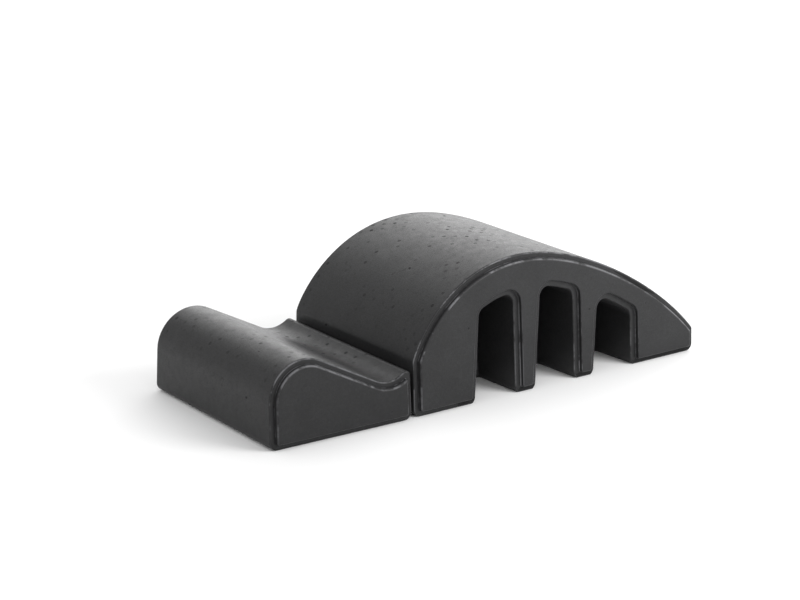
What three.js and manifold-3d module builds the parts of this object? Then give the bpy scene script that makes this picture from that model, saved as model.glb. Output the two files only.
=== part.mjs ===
// Pilates spine corrector in moulded bead foam: a tall arched barrel block on three pairs of
// tapered pockets, and a low step block with a wave-shaped top that stands against its front.
// Millimetres, +Z up, the length along X (step in front, barrel behind), standing on Z = 0.
import * as THREE from 'three';
import { mergeVertices } from 'three/addons/utils/BufferGeometryUtils.js';
import Module from 'manifold-3d';

const wasm = await Module();
wasm.setup();
const deg = THREE.MathUtils.degToRad;

// Driving dimensions
const BARREL_LENGTH = 642; // front face to tail face
const BARREL_HEIGHT = 248.5; // floor to the crown of the arch
const BARREL_WIDTH = 394; // across the raised side panels, at the foot of the front face
const STEP_LENGTH = 281.5; // toe to rear face
const STEP_HEIGHT = 145; // floor to the crest of the nose
const STEP_WIDTH = 398; // across the raised side panels, at the floor
const SEAM_GAP = 6.5; // air between the two blocks as they stand together

// Moulding features that both blocks share.
const PANEL_RISE = 8; // how far the side panels stand proud of the block
const REBATE = 10; // ledge left between a block's outline and its side panel
const PANEL_ROUND = 4; // rounding along a panel's edge
const EDGE_ROUND = 3; // rounding along a block's own edge
const LEDGE_FILLET = 1.5; // fillet at the foot of a panel's edge
const FOOT_ROUND = 14; // rounded corners where a block meets the floor
const OVERRUN = 40; // how far a cut runs past what it cuts
const MIN_ROUND_SHARE = 0.3; // share of a corner's rounding that is left to it however far in it lies

// Barrel: its sides lean in towards the top, and close in towards the tail.
const BARREL_DRAFT = deg(2.6);
const BARREL_TAPER = deg(1.3);

// Barrel: its arch, from the brow above the front face, over the crown, to the tail.
const CROWN_X = 234; // crown of the arch, from the front face
const BROW_HEIGHT = 98.5; // crease between the front face and the arch
const BROW_ROUND = 14;
const BROW_ANGLE = deg(74.2);
const TAIL_HEIGHT = 43.5;
const TAIL_ROUND = 9;
const TAIL_ANGLE = deg(50);
const ARCH_HANDLE_SHARES = { brow: 0.1, crownFront: 0.578, crownBack: 0.311, tail: 0.262 };

// Barrel: the tapered pockets in each side, with a web left standing between the two sides.
const POCKET_COUNT = 3;
const FRONT_LEG = 131.2; // front face to the first pocket, at the floor
const POCKET_LEG = 44.8; // leg between two pockets, at the floor
const TAIL_LEG = 151.8; // last pocket to the tail face, at the floor
const POCKET_FRONT_LEAN = deg(4.4);
const POCKET_BACK_LEAN = deg(1.1);
const POCKET_CORNER = 17; // rounding at the top corners
const ROOF_FRONT = 65.5; // foam over the first pocket, square to the arch
const ROOF_TAIL = 55; // foam over the last pocket
const POCKET_REBATE = 12; // ledge left between a pocket and the side panel round it
const POCKET_RIM_ROUND = 2; // rounding of the side panel's edge round a pocket
const WEB_THICKNESS = 150; // at the floor
const WEB_DRAFT = deg(4.8); // the web thickens towards the arch
const WEB_FILLET = 8;
const POCKET_DRAFT = deg(1.5); // the pockets narrow towards the web
const NARROW_POCKET_SHARES = { corner: 0.19, fillet: 0.09 }; // most of its width that a rounding takes

// Step block: a rounded nose, a straight fall, a hollow and a lip against the barrel.
const STEP_DRAFT = deg(3.2); // its sides lean in towards the top
const TOE_LEAN = deg(1.4);
const NOSE_RADIUS = 69;
const FALL_ANGLE = deg(27);
const HOLLOW_RADIUS = 52;
const LIP_HEIGHT = 93.5;
const LIP_ANGLE = deg(31.6);
const LIP_ROUND = 9;

// How finely curves are faceted.
const ARC_STEP = deg(15);
const ARCH_STEPS = { front: 10, back: 10 };
const ROUND_STEPS = 3;

// Outlines in the X-Z plane.
// An outline is a clockwise list of corners { x, z, r }: r is the corner's rounding, and a
// point that only samples a curve has r = 0.
const corner = (x, z, r = 0) => ({ x, z, r });

const turnAt = (points, i) => {
  const n = points.length;
  const [a, b, c] = [points[(i + n - 1) % n], points[i], points[(i + 1) % n]];
  const before = new THREE.Vector2(b.x - a.x, b.z - a.z).normalize();
  const after = new THREE.Vector2(c.x - b.x, c.z - b.z).normalize();
  return { before, after, turn: Math.atan2(before.cross(after), before.dot(after)) };
};

// Moves every edge inwards by the same distance (outwards if it is negative). A corner that
// bulges out loses that much of its rounding, and one that bends in gains it.
const inset = (points, distance) =>
  points.map((p, i) => {
    const { before, after, turn } = turnAt(points, i);
    const mitre = new THREE.Vector2(before.y + after.y, -before.x - after.x);
    mitre.multiplyScalar(distance / (1 + before.dot(after)));
    const r = p.r ? Math.max(p.r + Math.sign(turn) * distance, p.r * MIN_ROUND_SHARE) : 0;
    return corner(p.x + mitre.x, p.z + mitre.y, r);
  });

// Replaces each rounded corner by its arc, with as many points as the corner turns through.
const rounded = (points) =>
  points.flatMap((p, i) => {
    if (!p.r) return [new THREE.Vector2(p.x, p.z)];
    const { before, after, turn } = turnAt(points, i);
    const steps = Math.max(Math.round(Math.abs(turn) / ARC_STEP), 2);
    const start = new THREE.Vector2(p.x, p.z).addScaledVector(before, -p.r * Math.tan(Math.abs(turn) / 2));
    const side = new THREE.Vector2(-before.y, before.x).multiplyScalar(Math.sign(turn) * p.r);
    const centre = start.clone().add(side);
    return Array.from({ length: steps + 1 }, (_, k) =>
      centre.clone().sub(side.clone().rotateAround(new THREE.Vector2(), (turn * k) / steps)),
    );
  });

// Solids. A loft skins a closed stack of rings, each an outline at its own inset, in a plane at
// its own half-width y at the origin. The plane leans in with the height by its draft, and with
// the length by its taper, or out where they are negative.
const loft = (outline, rings) => {
  const loops = rings.map(({ inward, y, draft, taper = 0 }) =>
    rounded(inset(outline, inward)).map((p) => {
      const lean = p.y * Math.tan(draft) + p.x * Math.tan(taper);
      return new THREE.Vector3(p.x, y - Math.sign(y) * lean, p.y);
    }),
  );
  const n = loops[0].length;
  const faces = [];
  for (let k = 0; k + 1 < loops.length; k++) {
    for (let i = 0; i < n; i++) {
      const [a, b] = [k * n + i, k * n + ((i + 1) % n)];
      faces.push([a, b, a + n], [b, b + n, a + n]);
    }
  }
  for (const [k, flip] of [[0, true], [loops.length - 1, false]]) {
    const flat = loops[k].map((p) => new THREE.Vector2(p.x, p.z));
    const cap = THREE.ShapeUtils.triangulateShape(flat.slice().reverse(), []);
    for (const [a, b, c] of cap) {
      const [i, j, l] = [n - 1 - a, n - 1 - b, n - 1 - c].map((v) => v + k * n);
      faces.push(flip ? [i, j, l] : [i, l, j]);
    }
  }
  const geometry = new THREE.BufferGeometry();
  const positions = loops.flat().flatMap((p) => [p.x, p.y, p.z]);
  geometry.setAttribute('position', new THREE.Float32BufferAttribute(positions, 3));
  geometry.setIndex(faces.flat());
  return geometry;
};

const toSolid = (geometry) => {
  const merged = mergeVertices(geometry);
  return new wasm.Manifold(
    new wasm.Mesh({
      numProp: 3,
      vertProperties: new Float32Array(merged.attributes.position.array),
      triVerts: new Uint32Array(merged.index.array),
    }),
  );
};

const toGeometry = (solid) => {
  const { vertProperties, triVerts } = solid.getMesh();
  const geometry = new THREE.BufferGeometry();
  geometry.setAttribute('position', new THREE.BufferAttribute(vertProperties, 3));
  geometry.setIndex(new THREE.BufferAttribute(triVerts, 1));
  return geometry;
};

// Quarter-round rings along an edge at half-width y: from `inward` on the side face to
// `inward + radius` at the outer rim, or the other way round for the far side of a stack.
const quarter = (inward, y, radius) =>
  Array.from({ length: ROUND_STEPS + 1 }, (_, k) => {
    const a = (k / ROUND_STEPS) * (Math.PI / 2);
    return { inward: inward + radius * (1 - Math.cos(a)), y: y - radius * (1 - Math.sin(a)) };
  });

// A stack that is the same on both sides of the block.
const bothSides = (rings) => [...rings.map((ring) => ({ ...ring, y: -ring.y })).reverse(), ...rings];

// A moulded block: the body with rounded edges, and a core that runs right through it and
// stands proud on both sides as the raised, rounded side panels.
const block = (outline, width, lean) => {
  const face = width / 2 - PANEL_RISE;
  const leaning = (rings) => bothSides(rings.map((ring) => ({ ...ring, ...lean })));
  const body = toSolid(loft(outline, leaning(quarter(0, face, EDGE_ROUND))));
  const foot = { inward: REBATE - LEDGE_FILLET, y: face - LEDGE_FILLET };
  const toe = { inward: REBATE, y: face + LEDGE_FILLET };
  const panel = toSolid(
    loft(outline, leaning([foot, toe, ...quarter(REBATE, width / 2, PANEL_ROUND)])),
  );
  return body.add(panel);
};

// Barrel: two curves make the arch, and meet level at the crown.
const crown = new THREE.Vector2(CROWN_X, BARREL_HEIGHT);
const brow = new THREE.Vector2(0, BROW_HEIGHT);
const tail = new THREE.Vector2(BARREL_LENGTH, TAIL_HEIGHT);
const archFront = new THREE.CubicBezierCurve(
  brow,
  new THREE.Vector2(Math.cos(BROW_ANGLE), Math.sin(BROW_ANGLE))
    .multiplyScalar(ARCH_HANDLE_SHARES.brow * brow.distanceTo(crown)).add(brow),
  new THREE.Vector2(-ARCH_HANDLE_SHARES.crownFront * brow.distanceTo(crown), 0).add(crown),
  crown,
);
const archBack = new THREE.CubicBezierCurve(
  crown,
  new THREE.Vector2(ARCH_HANDLE_SHARES.crownBack * tail.distanceTo(crown), 0).add(crown),
  new THREE.Vector2(-Math.cos(TAIL_ANGLE), Math.sin(TAIL_ANGLE))
    .multiplyScalar(ARCH_HANDLE_SHARES.tail * tail.distanceTo(crown)).add(tail),
  tail,
);

const barrelOutline = [
  corner(0, 0, FOOT_ROUND),
  ...archFront.getSpacedPoints(ARCH_STEPS.front).map((p, i) => corner(p.x, p.y, i ? 0 : BROW_ROUND)),
  ...archBack.getSpacedPoints(ARCH_STEPS.back).slice(1)
    .map((p, i) => corner(p.x, p.y, i + 1 < ARCH_STEPS.back ? 0 : TAIL_ROUND)),
  corner(BARREL_LENGTH, 0, FOOT_ROUND),
];

// A roof line lies square below the arch, and a leaning wall ends where it meets that line.
const ARCH_SAMPLES = 200;
const archPoints = [...archFront.getPoints(ARCH_SAMPLES), ...archBack.getPoints(ARCH_SAMPLES).slice(1)];
const roofLine = (thickness) =>
  archPoints.slice(1, -1).map((p, i) => {
    const along = archPoints[i + 2].clone().sub(archPoints[i]).normalize();
    return new THREE.Vector2(p.x + along.y * thickness, p.y - along.x * thickness);
  });
const meet = (line, x0, lean) => {
  const after = line.findIndex((p) => p.x > x0 + p.y * Math.tan(lean));
  return line[after];
};

// The legs are as long as they are named, and the pockets share what they leave of the length.
const POCKET_WIDTH = (BARREL_LENGTH - FRONT_LEG - TAIL_LEG - POCKET_LEG * (POCKET_COUNT - 1)) / POCKET_COUNT;

// One pocket's outline: leaning walls, a roof that follows the arch, and a foot that widens
// with the rounded corners of the legs. Its foot line lies where the panels' lower edges stay.
const pocketOutline = (index) => {
  const front = FRONT_LEG + index * (POCKET_WIDTH + POCKET_LEG);
  const back = front + POCKET_WIDTH;
  const thickness = THREE.MathUtils.lerp(ROOF_FRONT, ROOF_TAIL, index / (POCKET_COUNT - 1));
  const roof = roofLine(thickness);
  const left = meet(roof, front, POCKET_FRONT_LEAN);
  const right = meet(roof, back, -POCKET_BACK_LEAN);
  const middle = meet(roof, (left.x + right.x) / 2, 0);
  const topRound = Math.min(POCKET_CORNER, POCKET_WIDTH * NARROW_POCKET_SHARES.corner);
  const reach = 2 * FOOT_ROUND;
  const foot = REBATE - POCKET_REBATE;
  return [
    corner(front - reach, -OVERRUN),
    corner(front - reach, foot),
    corner(front, foot, FOOT_ROUND),
    corner(left.x, left.y, topRound),
    corner(middle.x, middle.y, POCKET_WIDTH),
    corner(right.x, right.y, topRound),
    corner(back, foot, FOOT_ROUND),
    corner(back + reach, foot),
    corner(back + reach, -OVERRUN),
  ];
};

const BARREL_LEAN = { draft: BARREL_DRAFT, taper: BARREL_TAPER };

// The cut for one pocket on one side, from beyond the panel down to the web: the panel's
// rounded edge, the ledge, the mouth's rounded edge, the drafted walls and the filleted web.
const pocketCut = (outline, side) => {
  const panelFace = BARREL_WIDTH / 2;
  const face = panelFace - PANEL_RISE;
  const web = WEB_THICKNESS / 2;
  const depth = face - EDGE_ROUND - web;
  const narrowing = depth * Math.tan(POCKET_DRAFT);
  const webFillet = Math.min(WEB_FILLET, POCKET_WIDTH * NARROW_POCKET_SHARES.fillet);
  const rings = [
    ...quarter(0, web, webFillet).reverse()
      .map(({ inward, y }) => ({ inward: narrowing + inward, y: 2 * web - y, draft: -WEB_DRAFT, taper: 0 })),
    ...quarter(0, face, EDGE_ROUND).map(({ inward, y }) => ({ inward: -inward, y })),
    { inward: LEDGE_FILLET - POCKET_REBATE, y: face },
    { inward: -POCKET_REBATE, y: face + LEDGE_FILLET },
    ...quarter(0, panelFace, POCKET_RIM_ROUND)
      .map(({ inward, y }) => ({ inward: -POCKET_REBATE - inward, y })),
    { inward: -POCKET_REBATE - POCKET_RIM_ROUND, y: panelFace + OVERRUN },
  ];
  const placed = rings.map((ring) => ({ ...BARREL_LEAN, ...ring, y: side * ring.y }));
  return toSolid(loft(outline, side > 0 ? placed : placed.reverse()));
};

let barrelSolid = block(barrelOutline, BARREL_WIDTH, BARREL_LEAN);
for (let index = 0; index < POCKET_COUNT; index++) {
  for (const side of [-1, 1]) barrelSolid = barrelSolid.subtract(pocketCut(pocketOutline(index), side));
}

// Step block. Its fall is the tangent of the nose; the hollow lies where it meets the line down from the lip.
const stepOutline = (() => {
  const fall = Math.tan(FALL_ANGLE);
  const rise = Math.tan(LIP_ANGLE);
  const toe = -STEP_LENGTH - SEAM_GAP;
  const rear = -SEAM_GAP;
  const peak = STEP_HEIGHT - NOSE_RADIUS + NOSE_RADIUS / Math.cos(FALL_ANGLE) + NOSE_RADIUS * fall;
  const hollowX = (peak + fall * toe - LIP_HEIGHT + rise * rear) / (fall + rise);
  return [
    corner(toe, 0, FOOT_ROUND),
    corner(toe + STEP_HEIGHT * Math.tan(TOE_LEAN), peak, NOSE_RADIUS),
    corner(hollowX, LIP_HEIGHT + rise * (hollowX - rear), HOLLOW_RADIUS),
    corner(rear, LIP_HEIGHT, LIP_ROUND),
    corner(rear, 0, FOOT_ROUND),
  ];
})();
const stepSolid = block(stepOutline, STEP_WIDTH, { draft: STEP_DRAFT });

// Assembly
const foam = (color) => new THREE.MeshStandardMaterial({ color, roughness: 0.8, metalness: 0 });

const barrel = new THREE.Mesh(toGeometry(barrelSolid), foam(0x3a3a3b));
barrel.name = 'arched_barrel';
const step = new THREE.Mesh(toGeometry(stepSolid), foam(0x363637));
step.name = 'step_block';

// The origin lies on the floor under the middle of the overall length.
const assembly = new THREE.Group();
assembly.add(barrel, step);
assembly.position.x = (STEP_LENGTH + SEAM_GAP - BARREL_LENGTH) / 2;
assembly.updateMatrixWorld(true);

export default assembly;
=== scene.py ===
# Pilates spine corrector: two loose blocks moulded in charcoal bead foam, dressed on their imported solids.
# Metres, +Z up, the length along X with the step block in front, standing on Z = 0. Each block's own sizes
# are in millimetres.
import math

import bpy
from mathutils import Matrix, Vector


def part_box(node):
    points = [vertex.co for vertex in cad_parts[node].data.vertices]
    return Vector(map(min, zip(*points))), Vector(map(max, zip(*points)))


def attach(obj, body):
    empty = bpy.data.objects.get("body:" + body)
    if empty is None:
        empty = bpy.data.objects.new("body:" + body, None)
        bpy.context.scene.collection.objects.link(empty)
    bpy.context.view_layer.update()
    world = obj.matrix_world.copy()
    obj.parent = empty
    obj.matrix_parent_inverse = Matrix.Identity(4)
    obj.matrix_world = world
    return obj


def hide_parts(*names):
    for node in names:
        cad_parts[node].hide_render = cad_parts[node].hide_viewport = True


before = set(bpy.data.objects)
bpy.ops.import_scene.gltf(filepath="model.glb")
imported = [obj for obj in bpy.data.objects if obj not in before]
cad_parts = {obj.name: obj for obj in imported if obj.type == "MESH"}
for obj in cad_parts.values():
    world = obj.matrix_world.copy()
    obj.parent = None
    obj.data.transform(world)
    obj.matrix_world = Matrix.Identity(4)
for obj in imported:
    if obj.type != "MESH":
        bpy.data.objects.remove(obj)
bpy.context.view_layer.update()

# ARCHED BARREL
# One moulding of fused polypropylene beads, pressed in a steam-heated tool: an arched body with rounded
# edges, a raised panel on each drafted side, and three tapered pockets a side with a web between them.
MM = 0.001
BARREL_WIDTH, BARREL_HEIGHT = 394, 248.5
PANEL_RISE, PANEL_ROUND = 8, 4  # how far the side panels stand proud, and the rounding of their edge
REBATE, LEDGE_FILLET = 10, 1.5  # the ledge round a panel, and the fillet at the panel's foot
EDGE_ROUND, FOOT_ROUND = 3, 14  # the block's own edges, and its corners at the floor
barrel_low, barrel_high = (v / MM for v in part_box("arched_barrel"))
barrel_length = barrel_high.x - barrel_low.x
# The sides lean in by so much for every millimetre of height and of length, counted from the front face.
BARREL_LEAN = (math.tan(math.radians(2.6)), math.tan(math.radians(1.3)), barrel_low.x)


def corner(x, z, r=0.0):
    return (x, z, r)


def turn_at(points, i):
    """The directions before and after corner i, and the turn between them."""
    a, b, c = points[i - 1], points[i], points[(i + 1) % len(points)]
    before = Vector((b[0] - a[0], b[1] - a[1])).normalized()
    after = Vector((c[0] - b[0], c[1] - b[1])).normalized()
    cross = before.x * after.y - before.y * after.x
    return before, after, math.atan2(cross, before.dot(after))


LEAST_ROUND = 0.3  # share of a corner's rounding that is left to it, however far in the outline lies
ARC_STEP = math.radians(6)


def inset(points, distance):
    """The clockwise outline with every edge moved inwards by one distance."""
    out = []
    for i, (x, z, r) in enumerate(points):
        before, after, turn = turn_at(points, i)
        mitre = Vector((before.y + after.y, -before.x - after.x)) * (distance / (1 + before.dot(after)))
        if r:
            r = max(r + (distance if turn > 0 else -distance), LEAST_ROUND * r)
        out.append(corner(x + mitre.x, z + mitre.y, r))
    return out


def rounded(points):
    """The outline with each rounded corner drawn as its arc."""
    out = []
    for i, (x, z, r) in enumerate(points):
        if not r:
            out.append(Vector((x, z)))
            continue
        before, after, turn = turn_at(points, i)
        # The count of steps comes from the corner alone, so that every inset of it has as many points.
        steps = max(round(abs(turn) / ARC_STEP), 2)
        start = Vector((x, z)) - before * (r * math.tan(abs(turn) / 2))
        side = Vector((-before.y, before.x)) * math.copysign(r, turn)
        for k in range(steps + 1):
            arm = side.copy()
            arm.rotate(Matrix.Rotation(turn * k / steps, 2))
            out.append(start + side - arm)
    return out


def skin(name, outline, rings, lean):
    """A closed skin over a stack of insets of one outline. Each ring is its inset and half-width, and has a
    lean of its own where it isn't that of the block's sides."""
    loops = []
    for inward, y, *own in rings:
        up, along, start = own[0] if own else lean
        loops.append([(p.x, y - math.copysign(p.y * up + (p.x - start) * along, y), p.y)
                      for p in rounded(inset(outline, inward))])
    n = len(loops[0])
    faces = [(k * n + i, k * n + (i + 1) % n, (k + 1) * n + (i + 1) % n, (k + 1) * n + i)
             for k in range(len(loops) - 1) for i in range(n)]
    faces += [tuple(range(n))[::-1], tuple(range((len(loops) - 1) * n, len(loops) * n))]
    mesh = bpy.data.meshes.new(name)
    mesh.from_pydata([Vector(v) * MM for loop in loops for v in loop], [], faces)
    return bpy.data.objects.new(name, mesh)


ROUND_STEPS = 6


def quarter(inward, y, radius):
    """Rings of a quarter round, from the edge of the outline to the side face at half-width y."""
    angles = [k / ROUND_STEPS * math.pi / 2 for k in range(ROUND_STEPS + 1)]
    return [(inward + radius * (1 - math.cos(a)), y - radius * (1 - math.sin(a))) for a in angles]


def both_sides(rings):
    return [(i, -y) for i, y in rings][::-1] + rings


def settled_mesh(block):
    """The block's mesh with its modifiers worked in."""
    bpy.context.view_layer.update()
    made = bpy.data.meshes.new_from_object(block.evaluated_get(bpy.context.evaluated_depsgraph_get()))
    block.modifiers.clear()
    return made


def moulding(name, outline, width, lean, cutters=()):
    """A block: its rounded body, the core that shows as the raised side panels, less its cutters."""
    face = width / 2 - PANEL_RISE
    foot = [(REBATE - LEDGE_FILLET, face - LEDGE_FILLET), (REBATE, face + LEDGE_FILLET)]
    body = skin(name, outline, both_sides(quarter(0, face, EDGE_ROUND)), lean)
    core = skin("core", outline, both_sides(foot + quarter(REBATE, width / 2, PANEL_ROUND)), lean)
    bpy.context.scene.collection.objects.link(body)
    for tool, operation in [(core, "UNION")] + [(c, "DIFFERENCE") for c in cutters]:
        bpy.context.scene.collection.objects.link(tool)
        cut = body.modifiers.new("cut", "BOOLEAN")
        cut.object, cut.operation, cut.solver = tool, operation, "MANIFOLD"
    body.data = settled_mesh(body)
    for tool in [core, *cutters]:
        bpy.data.objects.remove(tool)
    return body


def bezier(a, b, c, d, count):
    """Points spaced evenly along a cubic curve."""
    samples = 800
    fine = [a * (1 - t) ** 3 + b * 3 * t * (1 - t) ** 2 + c * 3 * t * t * (1 - t) + d * t ** 3
            for t in (k / samples for k in range(samples + 1))]
    run = [0.0]
    for p, q in zip(fine, fine[1:]):
        run.append(run[-1] + (q - p).length)
    out, j = [], 0
    for k in range(count + 1):
        want = run[-1] * k / count
        while j < samples - 1 and run[j + 1] < want:
            j += 1
        t = (want - run[j]) / (run[j + 1] - run[j])
        out.append(fine[j].lerp(fine[j + 1], min(t, 1)))
    return out


# The arch springs from the brow, over the upright front, and comes down to the low tail face. Each of its
# two curves pulls on its ends by a share of the straight line between them.
CROWN_X, BROW_HEIGHT, BROW_ROUND, TAIL_HEIGHT, TAIL_ROUND = 234, 98.5, 14, 43.5, 9
BROW_RISE, TAIL_FALL = math.radians(74.2), math.radians(50)
BROW_PULL, CROWN_FRONT_PULL, CROWN_BACK_PULL, TAIL_PULL = 0.1, 0.578, 0.311, 0.262
ARCH_STEPS = 56
brow, crown = Vector((0, BROW_HEIGHT)), Vector((CROWN_X, BARREL_HEIGHT))
tail = Vector((barrel_length, TAIL_HEIGHT))
front_run, back_run = (brow - crown).length, (tail - crown).length
arch_front = bezier(brow, brow + Vector((math.cos(BROW_RISE), math.sin(BROW_RISE))) * BROW_PULL * front_run,
                    crown - Vector((CROWN_FRONT_PULL * front_run, 0)), crown, ARCH_STEPS)
arch_back = bezier(crown, crown + Vector((CROWN_BACK_PULL * back_run, 0)),
                   tail + Vector((-math.cos(TAIL_FALL), math.sin(TAIL_FALL))) * TAIL_PULL * back_run, tail,
                   ARCH_STEPS)
arch = arch_front + arch_back[1:]
barrel_outline = [corner(0, 0, FOOT_ROUND), corner(*brow, BROW_ROUND), *(corner(*p) for p in arch[1:-1]),
                  corner(*tail, TAIL_ROUND), corner(barrel_length, 0, FOOT_ROUND)]
barrel_outline = [corner(x + barrel_low.x, z, r) for x, z, r in barrel_outline]

# The pockets: leaning walls, a roof that follows the arch, a rounded mouth and a foot that flares.
POCKET_COUNT, FIRST_POCKET, POCKET_PITCH, POCKET_WIDTH = 3, 131.2, 134.6, 89.8
POCKET_FRONT_LEAN, POCKET_BACK_LEAN, POCKET_DRAFT = math.radians(4.4), math.radians(1.1), math.radians(1.5)
FIRST_ROOF, LAST_ROOF = 65.5, 55  # foam over a pocket, square to the arch
POCKET_CORNER, POCKET_REBATE, RIM_ROUND = 17, 12, 2
WEB, WEB_FILLET, WEB_LEAN = 150, 8, (-math.tan(math.radians(4.8)), 0, 0)
OVERRUN = 40  # how far a cutter runs past what it cuts


def roof(thickness):
    """The line square below the arch at one thickness of foam."""
    out = []
    for a, p, b in zip(arch, arch[1:], arch[2:]):
        along = (b - a).normalized()
        out.append(Vector((p.x + along.y * thickness, p.y - along.x * thickness)))
    return out


def meet(line, x0, lean):
    """Where a roof line crosses a wall that leans from x0 at the floor."""
    for a, b in zip(line, line[1:]):
        da, db = (p.x - x0 - p.y * math.tan(lean) for p in (a, b))
        if db > 0:
            return a.lerp(b, da / (da - db))


pocket_cutters = []
for index in range(POCKET_COUNT):
    front = FIRST_POCKET + POCKET_PITCH * index
    back = front + POCKET_WIDTH
    line = roof(FIRST_ROOF + (LAST_ROOF - FIRST_ROOF) * index / (POCKET_COUNT - 1))
    left, right = meet(line, front, POCKET_FRONT_LEAN), meet(line, back, -POCKET_BACK_LEAN)
    middle = meet(line, (left.x + right.x) / 2, 0)
    reach, foot = 2 * FOOT_ROUND, REBATE - POCKET_REBATE
    pocket = [corner(front - reach, -OVERRUN), corner(front - reach, foot), corner(front, foot, FOOT_ROUND),
              corner(*left, POCKET_CORNER), corner(*middle, POCKET_WIDTH), corner(*right, POCKET_CORNER),
              corner(back, foot, FOOT_ROUND), corner(back + reach, foot), corner(back + reach, -OVERRUN)]
    pocket = [corner(x + barrel_low.x, z, r) for x, z, r in pocket]
    panel, web = BARREL_WIDTH / 2, WEB / 2
    face = panel - PANEL_RISE
    narrowing = (face - EDGE_ROUND - web) * math.tan(POCKET_DRAFT)
    stack = [(narrowing + i, 2 * web - y, WEB_LEAN) for i, y in quarter(0, web, WEB_FILLET)[::-1]]
    stack += [(-i, y) for i, y in quarter(0, face, EDGE_ROUND)]
    stack += [(LEDGE_FILLET - POCKET_REBATE, face), (-POCKET_REBATE, face + LEDGE_FILLET)]
    stack += [(-POCKET_REBATE - i, y) for i, y in quarter(0, panel, RIM_ROUND)]
    stack += [(-POCKET_REBATE - RIM_ROUND, panel + OVERRUN)]
    pocket_cutters.append(skin("pocket_far", pocket, stack, BARREL_LEAN))
    mirrored = [(i, -y, *own) for i, y, *own in stack[::-1]]
    pocket_cutters.append(skin("pocket_near", pocket, mirrored, BARREL_LEAN))

barrel = moulding("barrel_moulding", barrel_outline, BARREL_WIDTH, BARREL_LEAN, pocket_cutters)


def linear(hex_colour):
    """An sRGB hex colour as linear red, green, blue and alpha."""
    parts = [int(hex_colour[k:k + 2], 16) / 255 for k in (1, 3, 5)]
    return (*[c / 12.92 if c <= 0.04045 else ((c + 0.055) / 1.055) ** 2.4 for c in parts], 1.0)


def add(tree, kind, inputs=None, **settings):
    """Adds a node: settings are its own, and inputs give each socket a value or a link."""
    made = tree.nodes.new("ShaderNode" + kind)
    for key, value in settings.items():
        setattr(made, key, value)
    for key, value in (inputs or {}).items():
        if isinstance(value, bpy.types.NodeSocket):
            tree.links.new(value, made.inputs[key])
        else:
            made.inputs[key].default_value = value
    return made


SHARP = math.radians(35)  # a harder turn than this between two faces stays a crease


def smooth_rounds(block):
    """Smooths the rounded edges and keeps the flats flat."""
    block.data.shade_smooth()
    block.data.set_sharp_from_angle(angle=SHARP)
    block.modifiers.new("weigh", "WEIGHTED_NORMAL").keep_sharp = True
    block.data = settled_mesh(block)


def follow_outline(mesh, outline):
    """How far each point lies inside the outline, and how far round it, in metres."""
    line = [p * MM for p in rounded(outline)]
    line.append(line[0])
    run = [0.0]
    for p, q in zip(line, line[1:]):
        run.append(run[-1] + (q - p).length)
    inside_and_round = []
    for v in mesh.vertices:
        nearest = (1.0, 0.0)
        at = Vector((v.co.x, v.co.z))
        for p, q, s in zip(line, line[1:], run):
            if min(p.x, q.x) - MM <= at.x <= max(p.x, q.x) + MM:
                way = q - p
                t = min(max((at - p).dot(way) / max(way.length_squared, 1e-12), 0), 1)
                inside = (p + way * t - at).length
                if inside < nearest[0]:
                    nearest = (inside, s + way.length * t)
        inside_and_round.append(nearest)
    return inside_and_round


# How far a face is from an edge shows in its normal: on a side or on the outer skin all of its length lies
# along the width or square to it, and half-way round an edge only 0.7 does.
FLAT = 0.985
FULL_HIGHLIGHT = 0.2  # short of the whole length by this much, a face gets the full painted highlight
HIGHLIGHT_DOWN_TO = 0.6  # how far a face may look down before it gets no painted highlight
OUTER_RIM, POCKET_HIGHLIGHT = 20, 0.35  # further in than this lie only the pockets' rims, which get less painted highlight
LEDGE_SLACK, SKIN_SLACK = 0.5, 0.3  # how far off the ledge, and off the outline, a point still counts as on it


def mark_edge_highlight_and_ledge_shade(mesh, place):
    """Marks the painted light on the skin: a painted highlight from 0 on the flats to 1 on the rounded edges,
    less where they face down or lie round a pocket, and -1 for painted shade on the ledge round the side
    panels."""
    flatness = [max(abs(face.normal.y), math.hypot(face.normal.x, face.normal.z)) for face in mesh.polygons]
    highlight_shares = {}
    for face, flat in zip(mesh.polygons, flatness):
        if flat < FLAT:
            for v in face.vertices:
                share = 1 if place[v][0] < OUTER_RIM * MM else POCKET_HIGHLIGHT
                highlight_shares.setdefault(v, []).append(
                    (1 - flat) / FULL_HIGHLIGHT * min(max(face.normal.z + HIGHLIGHT_DOWN_TO, 0), 1) * share)
    edge_highlight_and_ledge_shade = mesh.attributes.new("edge_highlight_and_ledge_shade", "FLOAT", "CORNER")
    for face, flat in zip(mesh.polygons, flatness):
        ledge = abs(face.normal.y) > FLAT and all(
            place[v][0] < (REBATE + LEDGE_SLACK) * MM for v in face.vertices)
        for loop, v in zip(face.loop_indices, face.vertices):
            edge_highlight = min(sum(highlight_shares[v]) / len(highlight_shares[v]), 1) if flat < FLAT else 0
            edge_highlight_and_ledge_shade.data[loop].value = -1 if ledge else edge_highlight


def map_vents(mesh, place):
    """Maps the outer skin for its steam vents: how far round the outline, and where across the width, in
    metres. Faces with no vents, such as the sides, the underside and the pockets, lie below zero."""
    uv = mesh.uv_layers.new(name="skin")
    for face in mesh.polygons:
        outer = abs(face.normal.y) < 0.3 and face.normal.z > -0.5
        outer = outer and all(place[v][0] < SKIN_SLACK * MM for v in face.vertices)
        for loop, v in zip(face.loop_indices, face.vertices):
            uv.data[loop].uv = (place[v][1], mesh.vertices[v].co.y + 1) if outer else (-1, -1)


def finish_skin(block, outline):
    smooth_rounds(block)
    place = follow_outline(block.data, outline)
    mark_edge_highlight_and_ledge_shade(block.data, place)
    map_vents(block.data, place)


finish_skin(barrel, barrel_outline)
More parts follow.
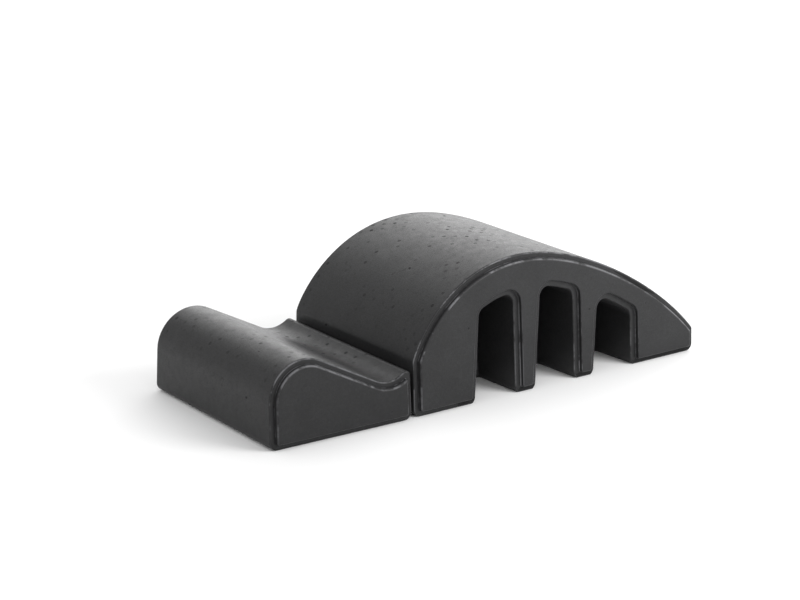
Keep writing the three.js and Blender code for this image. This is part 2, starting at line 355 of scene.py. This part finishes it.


# Expanded polypropylene, moulded: charcoal beads about 4 mm across, fused flat against the tool. The eye
# sees a dry, satin skin with faint bead borders, a few open pits between beads, small round prints from the
# steam vents, painted shade in the pits and vents and on the ledge round the side panels, and a painted
# highlight in patches along the rounded edges.
def bead_foam(name, colour):
    material = bpy.data.materials.new(name)
    material.use_nodes = True
    tree = material.node_tree
    tree.nodes.clear()
    out = add(tree, "OutputMaterial")
    place = add(tree, "TexCoord").outputs["Object"]
    uv = add(tree, "UVMap", uv_map="skin").outputs["UV"]

    # Each bead has a slightly different tone, with a hairline border where it fused to the next.
    bead_size = 4.2 * MM
    beads = add(tree, "TexVoronoi", {"Vector": place, "Scale": 1 / bead_size, "Randomness": 0.85})
    borders = add(tree, "TexVoronoi", {"Vector": place, "Scale": 1 / bead_size, "Randomness": 0.85},
                  feature="DISTANCE_TO_EDGE")
    border = add(tree, "MapRange", {"Value": borders.outputs["Distance"], "From Min": 0.0, "From Max": 0.09,
                                    "To Min": 1.0, "To Max": 0.0})
    tone = add(tree, "SeparateColor", {"Color": beads.outputs["Color"]})

    # Slow cloudiness over 70 mm, and streaks of 15 mm where the beads packed unevenly.
    cloud = add(tree, "TexNoise", {"Vector": place, "Scale": 1 / 0.07, "Detail": 2.0, "Roughness": 0.5})
    streak = add(tree, "TexNoise", {"Vector": place, "Scale": 1 / 0.015, "Detail": 3.0, "Roughness": 0.6})

    # Scuffs and open pits, darkened by painted shade in their hollows: one possible place in each 26 mm, of
    # which
    # # half are marked, up to 7 mm across and drawn out aslant, the way the block is dragged over the floor.
    turned = add(tree, "VectorRotate", {"Vector": place, "Axis": (0.3, 0.0, 1.0), "Angle": 0.7})
    drawn = add(tree, "VectorMath", {0: turned.outputs["Vector"], 1: (1.0, 0.45, 1.0)}, operation="MULTIPLY")
    pits = add(tree, "TexVoronoi", {"Vector": drawn.outputs[0], "Scale": 1 / 0.026, "Randomness": 1.0})
    pit_random = add(tree, "SeparateColor", {"Color": pits.outputs["Color"]})
    pit_size = add(tree, "MapRange", {"Value": pit_random.outputs["Red"], "From Min": 0.5, "From Max": 1.0,
                                      "To Min": 0.0, "To Max": 0.13})
    pit_edge = add(tree, "Math", {0: pit_size.outputs["Result"], 1: pits.outputs["Distance"]},
                   operation="SUBTRACT")
    pit = add(tree, "MapRange", {"Value": pit_edge.outputs[0], "From Min": 0.0, "From Max": 0.06})

    # Steam vents: round prints about 7 mm across in rows round the block, every other row moved by half a
    # pitch. In some patches most of them show, and in others hardly any.
    row_pitch, vent_pitch = 14.4 * MM, 29.5 * MM
    skin_uv = add(tree, "SeparateXYZ", {"Vector": uv})
    row = add(tree, "Math", {0: skin_uv.outputs["X"], 1: row_pitch}, operation="DIVIDE")
    row_number = add(tree, "Math", {0: row.outputs[0]}, operation="FLOOR")
    row_place = add(tree, "Math", {0: row.outputs[0]}, operation="FRACT")
    odd = add(tree, "Math", {0: row_number.outputs[0], 1: 2.0}, operation="MODULO")
    shift = add(tree, "Math", {0: odd.outputs[0], 1: 0.5}, operation="MULTIPLY")
    along = add(tree, "Math", {0: skin_uv.outputs["Y"], 1: 1 / vent_pitch, 2: shift.outputs[0]},
                operation="MULTIPLY_ADD")
    print_number = add(tree, "Math", {0: along.outputs[0]}, operation="FLOOR")
    print_place = add(tree, "Math", {0: along.outputs[0]}, operation="FRACT")
    off_row = add(tree, "Math", {0: row_place.outputs[0], 1: row_pitch, 2: -row_pitch / 2},
                  operation="MULTIPLY_ADD")
    off_print = add(tree, "Math", {0: print_place.outputs[0], 1: vent_pitch, 2: -vent_pitch / 2},
                    operation="MULTIPLY_ADD")
    off = add(tree, "CombineXYZ", {"X": off_row.outputs[0], "Y": off_print.outputs[0]})
    radius = add(tree, "VectorMath", {0: off.outputs[0]}, operation="LENGTH")
    disc = add(tree, "MapRange", {"Value": radius.outputs["Value"], "From Min": 2.6 * MM, "From Max": 4.2 * MM,
                                  "To Min": 1.0, "To Max": 0.0})
    which = add(tree, "CombineXYZ", {"X": row_number.outputs[0], "Y": print_number.outputs[0]})
    chance = add(tree, "TexWhiteNoise", {"Vector": which.outputs[0]}, noise_dimensions="2D")
    patches = add(tree, "TexNoise", {"Vector": place, "Scale": 1 / 0.09, "Detail": 1.0})
    luck = add(tree, "Math", {0: patches.outputs["Fac"], 1: 1.6, 2: chance.outputs["Value"]},
               operation="MULTIPLY_ADD")
    plain = add(tree, "MapRange", {"Value": luck.outputs[0], "From Min": 1.35, "From Max": 1.95})
    on_skin = add(tree, "Math", {0: skin_uv.outputs["X"], 1: 0.0}, operation="GREATER_THAN")
    # The vent prints, their relief and their painted shade alike, fade on skin that faces sideways and are full
    # where it faces up, as the light from above shows them.
    upward = add(tree, "SeparateXYZ", {"Vector": add(tree, "TexCoord").outputs["Normal"]})
    vent_by_facing = add(tree, "MapRange", {"Value": upward.outputs["Z"], "From Min": 0.35, "From Max": 0.9,
                                       "To Min": 0.15, "To Max": 1.0})
    on_skin = add(tree, "Math", {0: on_skin.outputs[0], 1: vent_by_facing.outputs[0]}, operation="MULTIPLY")
    vent = add(tree, "Math", {0: disc.outputs[0], 1: plain.outputs[0]}, operation="MULTIPLY")
    vent = add(tree, "Math", {0: vent.outputs[0], 1: on_skin.outputs[0]}, operation="MULTIPLY")

    # Tone: the plain colour times bead, cloud and streak, then darker in the bead borders, and darker still
    # with painted shade in the pits and vents and on the ledge.
    level = add(tree, "MapRange", {"Value": tone.outputs["Red"], "To Min": 0.88, "To Max": 1.12})
    for drift, low, high in ((cloud, 0.86, 1.14), (streak, 0.92, 1.08)):
        change = add(tree, "MapRange", {"Value": drift.outputs["Fac"], "From Min": 0.3, "From Max": 0.7,
                                        "To Min": low, "To Max": high})
        level = add(tree, "Math", {0: level.outputs[0], 1: change.outputs[0]}, operation="MULTIPLY")
    shade = add(tree, "Math", {0: border.outputs[0], 1: -0.22, 2: 1.0}, operation="MULTIPLY_ADD")
    # Painted shade in the hollows of the pits and vents.
    for mark, depth in ((pit, -0.6), (vent, -0.7)):
        hollow_shade = add(tree, "Math", {0: mark.outputs[0], 1: depth, 2: 1.0}, operation="MULTIPLY_ADD")
        shade = add(tree, "Math", {0: shade.outputs[0], 1: hollow_shade.outputs[0]}, operation="MULTIPLY")
    # Painted shade on the ledge round the side panels, in the shade of the panels' rise: -1 there darkens it to
    # 0.35.
    edge_highlight_and_ledge_shade = add(tree, "Attribute", attribute_name="edge_highlight_and_ledge_shade").outputs["Fac"]
    ledge_shade = add(tree, "MapRange", {"Value": edge_highlight_and_ledge_shade, "From Min": -1.0, "From Max": 0.0, "To Min": 0.35})
    shade = add(tree, "Math", {0: shade.outputs[0], 1: ledge_shade.outputs[0]}, operation="MULTIPLY")
    level = add(tree, "Math", {0: level.outputs[0], 1: shade.outputs[0]}, operation="MULTIPLY")

    # A painted highlight on the rounded edges that face up, paler in patches.
    patch = add(tree, "Math", {0: streak.outputs["Fac"], 1: cloud.outputs["Fac"]})
    patch = add(tree, "MapRange", {"Value": patch.outputs[0], "From Min": 0.92, "From Max": 1.13,
                                   "To Min": 0.08, "To Max": 1.0})
    edge_highlight = add(tree, "Math", {0: edge_highlight_and_ledge_shade, 1: 0.0}, operation="MAXIMUM")
    pale = add(tree, "Math", {0: edge_highlight.outputs[0], 1: patch.outputs[0]}, operation="MULTIPLY")
    level = add(tree, "Math", {0: pale.outputs[0], 1: 9.0, 2: level.outputs[0]}, operation="MULTIPLY_ADD")
    foam = add(tree, "VectorMath", {0: linear(colour)[:3], "Scale": level.outputs[0]}, operation="SCALE")

    # Relief: beads stand 0.08 mm proud of their borders, pits are sunk 0.7 mm and vents 0.4 mm, and the skin
    # swells slowly by up to 0.5 mm.
    height = add(tree, "Math", {0: border.outputs[0], 1: -0.08 * MM}, operation="MULTIPLY")
    for mark, depth in ((pit, -0.7), (vent, -0.4), (streak, 0.05), (cloud, 0.5)):
        height = add(tree, "Math", {0: mark.outputs[0], 1: depth * MM, 2: height.outputs[0]},
                     operation="MULTIPLY_ADD")
    bump = add(tree, "Bump", {"Height": height.outputs[0], "Strength": 0.6, "Distance": 1.0})

    # Satin where the tool pressed the skin flat, and dry and rough in the pits, vents and on the ledge.
    rough = add(tree, "MapRange", {"Value": streak.outputs["Fac"], "From Min": 0.3, "From Max": 0.7,
                                   "To Min": 0.9, "To Max": 1.0})
    rough = add(tree, "Math", {0: shade.outputs[0], 1: -0.5, 2: rough.outputs[0]}, operation="MULTIPLY_ADD")
    shader = add(tree, "BsdfPrincipled", {
        "Base Color": foam.outputs[0], "Roughness": rough.outputs[0], "IOR": 1.49,
        "Specular IOR Level": 0.28, "Sheen Weight": 0.03, "Sheen Roughness": 0.5, "Normal": bump.outputs[0]})
    tree.links.new(shader.outputs[0], out.inputs["Surface"])
    return material


barrel.data.materials.clear()
barrel.data.materials.append(bead_foam("moulded_bead_foam_barrel", "#212122"))
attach(barrel, "barrel")
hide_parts("arched_barrel")

# STEP BLOCK
# A second moulding of the same foam, from a tool of its own, that stands loose in front of the barrel: a
# rounded nose to hook the feet over, a straight fall, a hollow, and a low lip against the barrel's front.
STEP_LENGTH, STEP_WIDTH, STEP_HEIGHT = 281.5, 398, 145
NOSE, HOLLOW, LIP_HEIGHT, LIP_ROUND = 69, 52, 93.5, 9
TOE_LEAN, FALL, LIP_RISE = math.radians(1.4), math.radians(27), math.radians(31.6)
STEP_LEAN = (math.tan(math.radians(3.2)), 0, 0)
rear = (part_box("step_block")[1] / MM).x
toe = rear - STEP_LENGTH
# The nose is rounded where the toe meets the fall, and the hollow where the fall meets the lip.
peak = STEP_HEIGHT - NOSE + NOSE / math.cos(FALL) + NOSE * math.tan(FALL)
trough = (peak + math.tan(FALL) * toe - LIP_HEIGHT + math.tan(LIP_RISE) * rear) / (
    math.tan(FALL) + math.tan(LIP_RISE))
step_outline = [corner(toe, 0, FOOT_ROUND), corner(toe + STEP_HEIGHT * math.tan(TOE_LEAN), peak, NOSE),
                corner(trough, LIP_HEIGHT + math.tan(LIP_RISE) * (trough - rear), HOLLOW),
                corner(rear, LIP_HEIGHT, LIP_ROUND), corner(rear, 0, FOOT_ROUND)]
step = moulding("step_moulding", step_outline, STEP_WIDTH, STEP_LEAN)
finish_skin(step, step_outline)
step.data.materials.clear()
step.data.materials.append(bead_foam("moulded_bead_foam_step", "#1d1d1e"))
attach(step, "step")
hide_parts("step_block")

# STUDIO
# A pale painted floor that runs on as the backdrop, an overcast white surround, a broad soft light from
# behind that brightens the tops, and a small one that lifts the side towards the camera.
FLOOR_REACH = 14
floor = bpy.data.objects.new("floor", bpy.data.meshes.new("floor"))
floor.data.from_pydata([(x * FLOOR_REACH, y * FLOOR_REACH, 0) for x, y in ((-1, -1), (1, -1), (1, 1), (-1, 1))],
                       [], [(0, 1, 2, 3)])
bpy.context.scene.collection.objects.link(floor)
paint = bpy.data.materials.new("matt_white_floor_paint")
paint.use_nodes = True
tree = paint.node_tree
tree.nodes.clear()
mottle = add(tree, "TexNoise", {"Vector": add(tree, "TexCoord").outputs["Object"], "Scale": 3.0})
tint = add(tree, "MapRange", {"Value": mottle.outputs["Fac"], "To Min": 0.93, "To Max": 0.96})
shader = add(tree, "BsdfPrincipled", {"Base Color": tint.outputs[0], "Roughness": 0.9})
tree.links.new(shader.outputs[0], add(tree, "OutputMaterial").inputs["Surface"])
floor.data.materials.append(paint)

world = bpy.data.worlds.new("overcast")
bpy.context.scene.world = world
bpy.context.scene.view_settings.view_transform = "Standard"
world.use_nodes = True
surround = world.node_tree.nodes["Background"].inputs
surround["Color"].default_value = (1.0, 1.0, 1.0, 1.0)
surround["Strength"].default_value = 0.89

# Each soft box: where it stands, where it points, its size in metres and its power in watts.
for name, stand, aim, size, power in (
        ("soft_box_behind", (3.9, 5.9, 2.5), (0.1, 0, 0.2), (8.0, 4.6), 302.0),
        ("soft_box_side", (1.2, -1.9, 1.3), (0.2, 0, 0.1), (1.4, 1.4), 44.0)):
    light = bpy.data.objects.new(name, bpy.data.lights.new(name, "AREA"))
    light.data.shape, light.data.size, light.data.size_y, light.data.energy = "RECTANGLE", *size, power
    light.location = stand
    light.rotation_euler = (Vector(aim) - Vector(stand)).to_track_quat("-Z", "Y").to_euler()
    light.visible_camera = False
    bpy.context.scene.collection.objects.link(light)

# The camera stands where the photograph's stood: 35 degrees round to the step's side, 16.6 degrees up.
camera = bpy.data.objects.new("camera", bpy.data.cameras.new("camera"))
right, up, back = (0.81983, -0.57260, 0.00017), (0.16349, 0.23437, 0.95830), (-0.54876, -0.78562, 0.28576)
stand = (-2.25346, -3.11852, 1.28005)
camera.matrix_world = Matrix([(right[k], up[k], back[k], stand[k]) for k in range(3)] + [(0, 0, 0, 1)])
camera.data.sensor_width, camera.data.lens = 36.0, 100.997
camera.data.clip_end = 60.0
bpy.context.scene.collection.objects.link(camera)
bpy.context.scene.camera = camera
